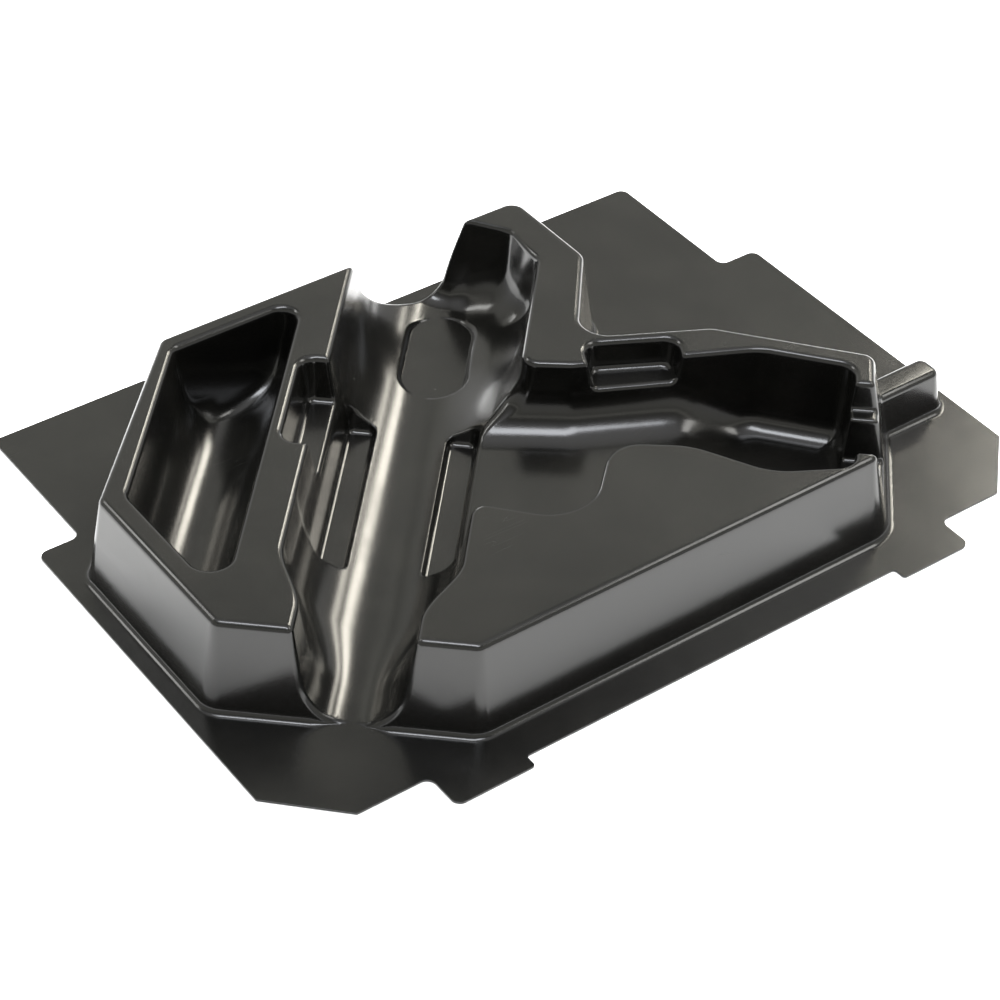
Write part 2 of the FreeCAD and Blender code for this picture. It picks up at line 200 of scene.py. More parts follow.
@dataclass(frozen=True)
class Datum:
    """Sizes that every feature shares."""

    sheet: float = 1.0
    top: float = 42.0
    axis: float = 47.9
    middle_n: float = 44.7
    rim: float = 2.4
    foot: float = 2.5
    wall: Draft = Draft(9.0)

    def along(self, x: Array, y: Array) -> Array:
        """Distance along the tool axis."""
        a = math.radians(self.axis)
        return x * math.cos(a) + y * math.sin(a)

    def across(self, x: Array, y: Array) -> Array:
        """Distance to the left of the tool axis."""
        a = math.radians(self.axis)
        return y * math.cos(a) - x * math.sin(a)

    def corner(self, u: float, n: float, radius: float) -> tuple[float, float, float]:
        """Outline corner from tool-axis coordinates."""
        a = math.radians(self.axis)
        return (u * math.cos(a) - n * math.sin(a), u * math.sin(a) + n * math.cos(a), radius)


DATUM = Datum()


def space(outline: Outline, x: Array, y: Array, z: Array, draft: Draft) -> Array:
    """Drafted space: plan distance less the room it loses below the top face."""
    return (outline.distance(x, y) + (DATUM.top - z) * draft.tan) * draft.cos


def channel(n: Array, z: Array, half: Array | float, floor: float) -> Array:
    """Round-bottomed channel: a circle up to where it touches the drafted walls, then the walls.

    Args:
        n: distance from the middle of the channel.
        z: height.
        half: half width at the top face.
        floor: height of the bottom line.

    Returns:
        The signed distance, negative in the channel.
    """
    d = DATUM.wall
    radius = d.cos * (half - (DATUM.top - floor) * d.tan) / (1.0 - d.sin)
    side, up = np.abs(n), z - floor - radius
    on_wall = side * d.sin + up * d.cos > 0.0
    return np.where(on_wall, side * d.cos - up * d.sin, np.hypot(side, up)) - radius


class Feature:
    """Part of the form with its own plan area."""

    area: tuple[float, float, float, float]

    def distance(self, x: Array, y: Array, z: Array) -> Array:
        """Signed distance of the feature."""
        raise NotImplementedError

    def near(self, x: Array, y: Array, z: Array) -> Array:
        """Signed distance, worked out only where the plan area is near.

        Args:
            x: x of the points.
            y: y of the points.
            z: height of the points.

        Returns:
            The distance, or a large one away from the feature.
        """
        x0, y0, x1, y1 = self.area
        hit = (x > x0 - NEAR) & (x < x1 + NEAR) & (y > y0 - NEAR) & (y < y1 + NEAR)
        if hit.all():
            return self.distance(x, y, z)
        shape = np.broadcast(x, y, z).shape
        if not hit.any() or x.ndim > 1:
            return self.distance(x, y, z) if hit.any() else np.full(shape, FAR)
        value = np.full(shape, FAR)
        value[hit] = self.distance(x[hit], y[hit], z[hit])
        return value


@dataclass
class Body:
    """Raised body of the tray before its recesses."""

    chamfer_u: float = -149.0
    left_x: float = -172.3
    left_y: float = 39.5
    front_y: float = -111.8
    rear_y: float = 114.5
    rear_x: float = -99.5
    radius: float = 5.0
    right: tuple[tuple[float, float, float], ...] = (
        (97.0, -111.8, 5.0), (141.5, -60.6, 5.0), (97.0, -7.6, 10.0),
        (46.0, 19.0, 12.0), (83.7, 64.5, 8.0), (83.7, 114.5, 7.0))
    right_draft: Draft = Draft(12.5)
    right_way: tuple[float, float] = (0.656, 0.755)
    right_starts: tuple[float, float] = (-26.0, -14.0)
    right_ends: tuple[float, float] = (42.0, 54.0)
    right_out: tuple[float, float] = (100.0, 120.0)
    outline: Outline = field(init=False)

    def __post_init__(self) -> None:
        """Joins the corners to one outline at the top face."""
        a = math.radians(DATUM.axis)
        left_y = (self.chamfer_u - self.left_x * math.cos(a)) / math.sin(a)
        front_x = (self.chamfer_u - self.front_y * math.sin(a)) / math.cos(a)
        self.outline = Outline([(self.left_x, left_y, self.radius), (front_x, self.front_y, self.radius),
                                *self.right, (self.rear_x, self.rear_y, self.radius),
                                (self.left_x, self.left_y, self.radius)])

    def wall(self, plan: Array, x: Array, y: Array, z: Array) -> Array:
        """Outer wall: plan distance less the run of the draft, which is larger on the right wall.

        Args:
            plan: distance from the outline in plan.
            x: x of the points.
            y: y of the points.
            z: height of the points.

        Returns:
            The signed distance, negative inside the wall.
        """
        along_x, along_y = self.right_way
        s, m = x * along_x + y * along_y, x * along_y - y * along_x
        right = ramp(s, *self.right_starts) * (1.0 - ramp(s, *self.right_ends)) * ramp(m, *self.right_out)
        tan = DATUM.wall.tan + right * (self.right_draft.tan - DATUM.wall.tan)
        return (plan - (DATUM.top - z) * tan) * DATUM.wall.cos

    def distance(self, plan: Array, x: Array, y: Array, z: Array) -> Array:
        """Body with its rim rounded."""
        return blend_max(self.wall(plan, x, y, z), z - DATUM.top, DATUM.rim)


@dataclass
class Rib(Feature):
    """Low rib from the right wall out over the flange."""

    rise: float = 20.0
    from_x: float = 100.0
    to_x: float = 178.0
    front_y: float = -66.0
    rear_y: float = -54.0
    radius: float = 4.0

    def __post_init__(self) -> None:
        """Joins the corners to one outline at the rib's top."""
        self.area = (self.from_x, self.front_y, self.to_x, self.rear_y)
        self.top = DATUM.sheet + self.rise
        r = self.radius
        self.outline = Outline([(self.from_x, self.front_y, r), (self.to_x, self.front_y, r),
                                (self.to_x, self.rear_y, r), (self.from_x, self.rear_y, r)])

    def wall(self, x: Array, y: Array, z: Array) -> Array:
        """Side of the rib: plan distance less the run of the draft below its top."""
        return (self.outline.distance(x, y) - (self.top - z) * DATUM.wall.tan) * DATUM.wall.cos

    def distance(self, x: Array, y: Array, z: Array) -> Array:
        """Rib with rounded top edges."""
        return blend_max(self.wall(x, y, z), z - self.top, DATUM.rim)


@dataclass
class Trough:
    """Barrel trough with the head recess at its side and the end wall behind."""

    floor: float = 1.0
    nose_n: float = 45.1
    nose_half: float = 23.2
    main_half: float = 34.6
    widen_from: float = -136.0
    widen_to: float = -101.0
    head_floor: tuple[float, float] = (13.2, 6.5)
    head_foot: tuple[float, float] = (24.0, 15.0)
    head_taper: tuple[float, float] = (15.0, 70.0)
    head_n: float = 0.3
    head_from: float = 6.0
    head_from_round: float = 6.0
    head_to_n: float = 34.0
    head_to_round: float = 3.0
    head_x: float = 65.2
    head_y: float = 73.0
    head_crest: float = 10.0
    end_y: float = 95.0
    end_angle: float = 34.5
    end_draft: Draft = Draft(2.5)
    end_round: float = 10.0
    top_rounds: tuple[float, float] = (8.0, 4.0)
    deep_rounds: tuple[float, float] = (14.0, 18.0)
    deepens: tuple[float, float] = (10.0, 34.0)

    def __post_init__(self) -> None:
        """Joins the right wall and the end wall to an outline at the top and a rounder one deep down."""
        self.limits = tuple(self.limit(*rounds) for rounds in (self.top_rounds, self.deep_rounds))

    def limit(self, side: float, end: float) -> Outline:
        """Outline of the head's right wall and the end wall, run on far past the other two sides.

        Args:
            side: corner radius where the right wall turns.
            end: corner radius where the end wall starts.

        Returns:
            The outline at the top face.
        """
        a = math.radians(self.end_angle)
        run, out, r = 80.0, 200.0, 10.0
        return Outline([DATUM.corner(-FIELD, self.head_n, r), (self.head_x, self.head_y, side),
                        (self.head_x, self.end_y, end),
                        (self.head_x - run * math.sin(a), self.end_y + run * math.cos(a), r),
                        DATUM.corner(-FIELD, out, r)])

    def distance(self, x: Array, y: Array, z: Array) -> Array:
        """Trough and head recess; the channel widens by a smooth step along the axis.

        Args:
            x: x of the points.
            y: y of the points.
            z: height of the points.

        Returns:
            The signed distance, negative in the trough.
        """
        u, n = DATUM.along(x, y), DATUM.across(x, y)
        s = ramp(u, self.widen_from, self.widen_to)
        half = self.nose_half + s * (self.main_half - self.nose_half)
        middle = self.nose_n + s * (DATUM.middle_n - self.nose_n)
        barrel = channel(n - middle, z, half, self.floor)
        high, deep = (space(outline, x, y, z, self.end_draft) for outline in self.limits)
        limit = high + (deep - high) * (1.0 - ramp(z, *self.deepens))
        barrel = blend_max(barrel, limit, self.end_round)
        taper = ramp(u, *self.head_taper)
        floor, foot = ((a + taper * (b - a)) for a, b in (self.head_floor, self.head_foot))
        head = blend_max(floor - z, limit, foot)
        head = blend_max(head, self.head_from - u, self.head_from_round)
        head = blend_max(head, n - self.head_to_n, self.head_to_round)
        return blend_min(barrel, head, self.head_crest)


@dataclass
class Slot(Feature):
    """Flat-bottomed slot beside the main part of the trough."""

    side: float
    to_u: float
    floor: float = 1.5
    from_u: float = -72.3
    inner: float = 15.6
    outer: float = 27.4
    foot: float = 2.0
    near_round: float = 10.0
    radius: float = 9.5

    def __post_init__(self) -> None:
        """Joins the corners to one outline at the top face."""
        spread = (DATUM.top - self.floor) * DATUM.wall.tan
        outer = DATUM.middle_n + self.side * (self.outer + spread)
        inner = DATUM.middle_n + self.side * (self.inner - spread)
        low, high = self.from_u - spread, self.to_u + spread
        corners = [DATUM.corner(low, inner, self.radius), DATUM.corner(low, outer, self.near_round),
                   DATUM.corner(high, outer, self.radius), DATUM.corner(high, inner, self.radius)]
        self.outline = Outline(corners[::-1] if self.side > 0 else corners)
        self.area = (*self.outline.low, *self.outline.high)

    def distance(self, x: Array, y: Array, z: Array) -> Array:
        """Slot with a rounded floor edge."""
        return blend_max(space(self.outline, x, y, z, DATUM.wall), self.floor - z, self.foot)


@dataclass
class Ledge(Feature):
    """Shallow flat-bottomed pocket."""

    corners: tuple[tuple[float, float, float], ...]
    floor: float
    foot: float = 2.5
    draft: Draft = Draft(9.0)

    def __post_init__(self) -> None:
        """Joins the corners to one outline at the top face."""
        self.outline = Outline(self.corners)
        self.area = (*self.outline.low, *self.outline.high)

    def distance(self, x: Array, y: Array, z: Array) -> Array:
        """Pocket with a rounded floor edge."""
        return blend_max(space(self.outline, x, y, z, self.draft), self.floor - z, self.foot)


@dataclass
class Oval:
    """Oval flat sunk in the floor of the trough."""

    u: float = 74.2
    n: float = 41.2
    length: float = 57.0
    width: float = 27.0
    slope: Draft = Draft(30.0)
    height: float = 8.0

    def distance(self, x: Array, y: Array, z: Array) -> Array:
        """Stadium in plan: distance to its middle line less half the width, sloped, up to a height.

        Args:
            x: x of the points.
            y: y of the points.
            z: height of the points.

        Returns:
            The signed distance, negative in the oval.
        """
        u = np.abs(DATUM.along(x, y) - self.u) - (self.length - self.width) / 2.0
        n = DATUM.across(x, y) - self.n
        plan = np.hypot(np.maximum(u, 0.0), n) - self.width / 2.0
        wall = (plan - (z - DATUM.sheet) * self.slope.tan) * self.slope.cos
        return np.maximum(wall, z - DATUM.sheet - self.height)


@dataclass
class AccessoryPocket(Feature):
    """Pocket with a half-round bottom in the left block."""

    floor: float = 4.0
    in_n: float = 96.8
    out_n: float = 144.4
    x: float = -162.0
    y: float = 106.0
    front_round: float = 9.0
    rear_round: float = 7.0
    outer_round: float = 2.0
    fillet: float = 13.0
    fillet_middle: float = 7.0
    fillet_out: float = 1.5
    narrows: tuple[float, float] = (99.0, 108.0)
    narrows_out: tuple[float, float] = (128.0, 139.0)

    def __post_init__(self) -> None:
        """Joins the two long walls and the two ends to one outline at the top face."""
        a = math.radians(DATUM.axis)
        rear = [(self.y * math.cos(a) - n) / math.sin(a) for n in (self.in_n, self.out_n)]
        front = [(n + self.x * math.sin(a)) / math.cos(a) for n in (self.in_n, self.out_n)]
        self.outline = Outline([(self.x, front[0], self.front_round), (rear[0], self.y, self.rear_round),
                                (rear[1], self.y, self.outer_round), (self.x, front[1], self.outer_round)])
        self.area = (*self.outline.low, *self.outline.high)

    def distance(self, x: Array, y: Array, z: Array) -> Array:
        """Channel closed by two end walls, with a fillet that is wide at the narrow corners.

        Args:
            x: x of the points.
            y: y of the points.
            z: height of the points.

        Returns:
            The signed distance, negative in the pocket.
        """
        d = DATUM.wall
        n = DATUM.across(x, y)
        middle, half = (self.in_n + self.out_n) / 2.0, (self.out_n - self.in_n) / 2.0
        run = (DATUM.top - z) * d.tan
        ends = np.maximum((self.x - x + run) * d.cos, (y - self.y + run) * d.cos)
        radius = (self.fillet - (self.fillet - self.fillet_middle) * ramp(n, *self.narrows)
                  - (self.fillet_middle - self.fillet_out) * ramp(n, *self.narrows_out))
        value = blend_max(channel(n - middle, z, half, self.floor), ends, radius)
        return np.maximum(value, space(self.outline, x, y, z, d))


@dataclass
class GripRecess(Feature):
    """Recess for the grip: a bed beside the trough and a deeper end."""

    corners: tuple[tuple[float, float, float], ...] = (
        (-77.7, -14.7, 6.0), (-21.3, -78.0, 22.0), (15.0, -44.0, 15.0), (40.5, -63.1, 35.0),
        (57.3, -94.3, 30.0), (86.7, -111.0, 9.0), (130.0, -61.5, 8.0), (104.0, -30.5, 25.0),
        (32.0, 4.5, 20.0), (-28.0, 49.0, 6.0))
    draft: Draft = Draft(4.0)
    bed: float = 11.0
    sweep: float = 18.0
    end_sweep: float = 10.0
    foot: float = 5.0
    wall_angle: float = -26.6
    wall_point: tuple[float, float] = (32.0, 4.5)
    end_floor: float = 3.0
    end_point: tuple[float, float] = (68.5, -47.0)
    end_way: tuple[float, float] = (0.843, -0.538)
    fall: tuple[float, float] = (-14.0, 16.0)
    sweep_narrows: tuple[float, float] = (-20.0, 25.0)
    sweep_near: tuple[float, float] = (-42.0, -22.0)
    floor_lean: float = 0.97

    def __post_init__(self) -> None:
        """Joins the corners to one outline at the top face."""
        self.outline = Outline(self.corners)
        self.area = (*self.outline.low, *self.outline.high)

    def distance(self, x: Array, y: Array, z: Array) -> Array:
        """Bed that falls to the deep end; its fillet widens towards the upper wall.

        Args:
            x: x of the points.
            y: y of the points.
            z: height of the points.

        Returns:
            The signed distance, negative in the recess.
        """
        wall = space(self.outline, x, y, z, self.draft)
        a = math.radians(self.wall_angle)
        upper = (x - self.wall_point[0]) * -math.sin(a) + (y - self.wall_point[1]) * math.cos(a)
        into = (x - self.end_point[0]) * self.end_way[0] + (y - self.end_point[1]) * self.end_way[1]
        floor = self.bed - (self.bed - self.end_floor) * ramp(into, *self.fall)
        sweep = self.sweep - (self.sweep - self.end_sweep) * ramp(into, *self.sweep_narrows)
        foot = self.foot + (sweep - self.foot) * ramp(upper, *self.sweep_near)
        return blend_max(wall, (floor - z) * self.floor_lean, foot)


def side_ledge(u: tuple[float, float] = (-40.0, 14.5), n: tuple[float, float] = (64.7, 91.3),
               radius: float = 7.0, floor: float = 22.0) -> Ledge:
    """Ledge pocket on the left block, square to the tool axis.

    Args:
        u: its two ends along the axis.
        n: its two sides across the axis.
        radius: corner radius.
        floor: height of its floor.

    Returns:
        The ledge.
    """
    corners = ((u[0], n[0]), (u[1], n[0]), (u[1], n[1]), (u[0], n[1]))
    return Ledge(tuple(DATUM.corner(*c, radius) for c in corners), floor)


def outlet(half: float, floor: float, angle: float = 49.0, middle: float = 4.4,
           reach: tuple[float, float] = (128.0, 175.0), radius: float = 4.0) -> Ledge:
    """Opening through the right wall.

    Args:
        half: half width.
        floor: height of its floor.
        angle: direction of the right wall in degrees.
        middle: place of its middle along the wall.
        reach: its two ends across the wall.
        radius: corner radius.

    Returns:
        The opening.
    """
    a = math.radians(angle)
    dx, dy = math.cos(a), math.sin(a)
    near, far, low, high = *reach, middle - half, middle + half
    corners = tuple((s * dx + m * dy, s * dy - m * dx, radius)
                    for s, m in ((low, near), (low, far), (high, far), (high, near)))
    return Ledge(corners, floor, 2.0, Draft(5.0))


@dataclass
class Form:
    """The whole surface of the mould, with the fillets between its features."""

    body: Body = field(default_factory=Body)
    rib: Rib = field(default_factory=Rib)
    trough: Trough = field(default_factory=Trough)
    slots: tuple[Slot, ...] = field(default_factory=lambda: (Slot(1.0, 18.0), Slot(-1.0, 15.5)))
    ledge: Ledge = field(default_factory=side_ledge)
    pocket: AccessoryPocket = field(default_factory=AccessoryPocket)
    grip: GripRecess = field(default_factory=GripRecess)
    clip: Ledge = field(default_factory=lambda: Ledge(
        ((31.1, -12.6, 5.0), (66.6, -31.2, 5.0), (80.5, -4.6, 7.0), (45.0, 14.0, 7.0)), 28.5))
    oval: Oval = field(default_factory=Oval)
    outlets: tuple[Ledge, ...] = field(default_factory=lambda: (outlet(22.2, 29.0), outlet(15.2, 9.0)))
    slot_crest: tuple[float, float] = (0.9, 1.8)
    slot_crest_widens: tuple[float, float] = (7.0, 12.0)
    grip_crest: tuple[float, float] = (2.5, 7.5)
    grip_crest_widens: tuple[float, float] = (13.0, 22.0)
    ledge_crest: float = 2.0
    outlet_crest: float = 1.5
    oval_crest: float = 1.0
    rib_root: float = 2.0
    foot_starts: tuple[float, float] = (-3.5, -1.0)
    mouth_u: tuple[float, float] = (120.0, 140.0)
    mouth_n: tuple[float, float] = (7.0, 16.0)
    rear_u: tuple[float, float] = (90.0, 105.0)
    rear_n: tuple[float, float] = (10.0, 24.0)
    rear_middle: float = 42.0
    least_slope: float = 0.2
    stride: float = 0.5

    def distance(self, x: Array, y: Array, z: Array) -> Array:
        """Signed distance of the mould surface.

        The body and rib lose the joined recesses, and then stand on the flange plane.

        Args:
            x: x of the points.
            y: y of the points.
            z: height of the points.

        Returns:
            The distance, negative under the surface.
        """
        plan = self.body.outline.distance(x, y)
        void = self.trough.distance(x, y, z)
        narrow, wide = self.slot_crest
        crest = narrow + (wide - narrow) * ramp(z, *self.slot_crest_widens)
        for slot in self.slots:
            void = blend_min(void, slot.near(x, y, z), crest)
        void = blend_min(void, self.ledge.near(x, y, z), self.ledge_crest)
        narrow, wide = self.grip_crest
        crest = narrow + (wide - narrow) * ramp(z, *self.grip_crest_widens)
        void = blend_min(void, self.grip.near(x, y, z), crest)
        void = blend_min(void, self.clip.near(x, y, z), self.ledge_crest)
        for opening in self.outlets:
            void = blend_min(void, opening.near(x, y, z), self.outlet_crest)
        void = blend_min(void, self.oval.distance(x, y, z), self.oval_crest)
        void = np.minimum(void, self.pocket.near(x, y, z))
        block = blend_min(self.body.distance(plan, x, y, z), self.rib.near(x, y, z), self.rib_root)
        block = blend_max(block, -void, DATUM.rim)
        return blend_min(block, z - DATUM.sheet, self.foot_round(plan, x, y) + 1e-4)

    def foot_round(self, plan: Array, x: Array, y: Array) -> Array:
        """Fillet along the foot of the body, which fades out where the trough opens at each end.

        Args:
            plan: distance from the body's outline in plan.
            x: x of the points.
            y: y of the points.

        Returns:
            The fillet radius at each point.
        """
        u, n = DATUM.along(x, y), DATUM.across(x, y)
        foot = ramp(plan - (DATUM.top - DATUM.sheet) * DATUM.wall.tan, *self.foot_starts)
        mouth = 1.0 - ramp(-u, *self.mouth_u) * (1.0 - ramp(np.abs(n - self.trough.nose_n), *self.mouth_n))
        rear = 1.0 - ramp(u, *self.rear_u) * (1.0 - ramp(np.abs(n - self.rear_middle), *self.rear_n))
        return DATUM.foot * foot * mouth * rear

    def foot(self, x: Array, y: Array) -> Array:
        """Distance in the flange plane from the line where body or rib meets the flange.

        Args:
            x: x of the points.
            y: y of the points.

        Returns:
            The distance of each point, negative inside that line.
        """
        z = np.full_like(x, DATUM.sheet)
        wall = self.body.wall(self.body.outline.distance(x, y), x, y, z)
        return np.minimum(wall, self.rib.wall(x, y, z))

    def probe(self, p: Array, reach: float = 0.03) -> tuple[Array, Array]:
        """Distance and gradient from the four corners of a small tetrahedron round each point.

        Args:
            p: points, one a row.
            reach: half the side of the cube that holds the tetrahedron.

        Returns:
            The distances and the gradients, one a row.
        """
        corners = np.array([(1, -1, -1), (-1, -1, 1), (-1, 1, -1), (1, 1, 1)], float)
        values = np.stack([self.distance(*(p + c * reach).T) for c in corners])
        return values.mean(0), values.T @ corners / (4.0 * reach)

    def settle(self, p: Array, level: float, rounds: int = 3) -> Array:
        """Moves points on to a level: each round goes back by distance over slope.

        Args:
            p: points, one a row.
            level: signed distance to reach.
            rounds: number of moves.

        Returns:
            The moved points.
        """
        for _ in range(rounds):
            value, g = self.probe(p)
            move = g * ((value - level) / np.maximum((g * g).sum(1), self.least_slope))[:, None]
            size = np.linalg.norm(move, axis=1)[:, None]
            p = p - move * np.minimum(1.0, self.stride / np.maximum(size, 1e-9))
        return p


def net(values: Array) -> tuple[Array, Array]:
    """Surface net of the zero level of a grid.

    Each cell that the level crosses gets one point, the mean of the crossings on its
    twelve edges.  Each crossed grid edge gets a quad of its four cells, facing outwards.

    Args:
        values: signed values on a regular grid.

    Returns:
        Points in grid units and quads as point numbers.
    """
    low = values < 0.0
    count = sum(low[i:low.shape[0] - 1 + i, j:low.shape[1] - 1 + j, k:low.shape[2] - 1 + k].astype(np.int8)
                for i in (0, 1) for j in (0, 1) for k in (0, 1))
    mixed = (count > 0) & (count < 8)
    cells = np.argwhere(mixed)
    number = np.full(mixed.shape, -1, np.int64)
    number[mixed] = np.arange(len(cells))
    total, hits = np.zeros((len(cells), 3)), np.zeros(len(cells))
    quads = []
    for axis in range(3):
        one = np.eye(3, dtype=int)[axis]
        b, c = np.eye(3, dtype=int)[(axis + 1) % 3], np.eye(3, dtype=int)[(axis + 2) % 3]
        for shift in (0 * b, b, c, b + c):
            p, q = cells + shift, cells + shift + one
            fp, fq = values[tuple(p.T)], values[tuple(q.T)]
            cross = (fp < 0.0) != (fq < 0.0)
            t = fp[cross] / (fp[cross] - fq[cross])
            total[cross] += shift + t[:, None] * one
            hits[cross] += 1.0
        ahead = np.moveaxis(low, axis, 0)
        edge = np.argwhere(np.moveaxis(ahead[1:] != ahead[:-1], 0, axis))
        edge = edge[(edge @ b > 0) & (edge @ c > 0) & (edge @ b < mixed.shape[(axis + 1) % 3])
                    & (edge @ c < mixed.shape[(axis + 2) % 3])]
        around = np.stack([number[tuple((edge - s).T)] for s in (b + c, c, 0 * b, b)], 1)
        rising = low[tuple(edge.T)]
        quads.append(np.where(rising[:, None], around, around[:, ::-1]))
    return cells + total / hits[:, None], np.concatenate(quads)


def rim_of(triangles: Array) -> Array:
    """Border of a patch in order: each border point is ranked by jumping along its followers.

    Args:
        triangles: patch with one border, as point numbers.

    Returns:
        The border's point numbers.
    """
    ahead = np.concatenate([triangles[:, [0, 1]], triangles[:, [1, 2]], triangles[:, [2, 0]]])
    size = int(triangles.max()) + 1
    single = ahead[~np.isin(ahead @ [size, 1], ahead[:, ::-1] @ [size, 1])]
    points, flat = np.unique(single, return_inverse=True)
    link = flat.reshape(single.shape)
    follow = np.empty(len(points), int)
    follow[link[:, 0]] = link[:, 1]
    rank = np.ones(len(points), int)
    last = int(np.flatnonzero(follow == 0)[0])
    follow[last], rank[last] = last, 0
    for _ in range(int(math.log2(len(points))) + 2):
        rank = rank + rank[follow]
        follow = follow[follow]
    return points[np.argsort(-rank)]


def thinned(points: Array, triangles: Array, keep: int) -> tuple[Array, Array]:
    """Patch with fewer triangles where it is flat, by Blender's collapse decimation.

    Args:
        points: points, one a row.
        triangles: triangles as point numbers.
        keep: number of triangles to keep.

    Returns:
        The points and triangles left.
    """
    mesh = bpy.data.meshes.new("patch")
    mesh.from_pydata(points, [], triangles)
    work = bpy.data.objects.new("patch", mesh)
    bpy.context.scene.collection.objects.link(work)
    tool = work.modifiers.new("thin", "DECIMATE")
    tool.ratio = keep / len(triangles)
    left = bpy.data.meshes.new_from_object(work.evaluated_get(bpy.context.evaluated_depsgraph_get()))
    spots = np.empty(len(left.vertices) * 3)
    left.vertices.foreach_get("co", spots)
    left.calc_loop_triangles()
    corners = np.empty(len(left.loop_triangles) * 3, np.int32)
    left.loop_triangles.foreach_get("vertices", corners)
    bpy.data.objects.remove(work)
    bpy.data.meshes.remove(mesh)
    bpy.data.meshes.remove(left)
    return spots.reshape(-1, 3), corners.reshape(-1, 3).astype(int)


def span(outer: Array, inner: Array) -> Array:
    """Flat ring between two closed lines, as a constrained Delaunay triangulation.

    Args:
        outer: outer line in order.
        inner: inner line in order.

    Returns:
        Triangles, numbered through the outer and then the inner points, facing up.
    """
    spots = [Vector(p) for p in np.concatenate([outer, inner])]
    loops = [list(range(len(outer))), list(range(len(outer), len(spots)))]
    _, _, faces, came_from, _, parts = delaunay_2d_cdt(spots, [], loops, 1, 1e-6)
    kept = np.array([[came_from[i][0] for i in f] for f, part in zip(faces, parts) if 1 not in part])
    p = np.concatenate([outer, inner])[kept]
    a, b = p[:, 1] - p[:, 0], p[:, 2] - p[:, 0]
    up = a[:, 0] * b[:, 1] - a[:, 1] * b[:, 0] > 0.0
    return np.where(up[:, None], kept, kept[:, ::-1])


@dataclass
class Flange:
    """Flat sheet around the body, trimmed to a stepped outline."""

    half_x: float = 187.5
    rear_half_x: float = 168.0
    side_step_y: float = 67.0
    rear_y: float = 140.5
    rear_mid_y: float = 128.5
    rear_tab_x: float = 92.0
    corner_y: float = -123.0
    front_y: float = -134.5
    tab_y: float = -140.5
    tab_in_x: float = 92.5
    tab_out_x: float = 128.5
    chamfer: float = 26.7
    corner_round: float = 4.0
    small_round: float = 1.5
    edge: float = 0.12
    chord: float = 0.5

    def outline(self) -> Outline:
        """Outline of the trimmed sheet, the same on both sides of the middle.

        Returns:
            The outline, counter-clockwise from the front right tab.
        """
        r, s = self.corner_round, self.small_round
        right = [(self.tab_in_x, self.front_y, s), (self.tab_in_x, self.tab_y, s),
                 (self.tab_out_x, self.tab_y, r), (self.tab_out_x, self.corner_y, r),
                 (self.half_x - self.chamfer, self.corner_y, s),
                 (self.half_x, self.corner_y + self.chamfer, s),
                 (self.half_x, self.side_step_y, r), (self.rear_half_x, self.side_step_y, r),
                 (self.rear_half_x, self.rear_y, r), (self.rear_tab_x, self.rear_y, r),
                 (self.rear_tab_x, self.rear_mid_y, r)]
        return Outline(right + [(-x, y, c) for x, y, c in reversed(right)])

    def rings(self) -> tuple[Array, Array]:
        """Four lines around the cut edge: top and bottom lines drawn in by a small bevel.

        Returns:
            Points as ring, place, axis and the outward direction of each.
        """
        plan, away = self.outline().points(self.chord)
        pulled = plan - away * self.edge
        heights = (DATUM.sheet, DATUM.sheet - self.edge, self.edge, 0.0)
        lines = (pulled, plan, plan, pulled)
        rings = [np.column_stack([p, np.full(len(p), z)]) for p, z in zip(lines, heights)]
        out = np.column_stack([away, np.zeros(len(away))])
        up = np.zeros_like(out) + (0.0, 0.0, 1.0)
        return np.stack(rings), np.stack([up, out, out, -up])


class Face(Enum):
    """Face of the sheet: its level of the form and the number of triangles kept."""

    UPPER = (0.0, 120_000)
    LOWER = (-1.0, 55_000)


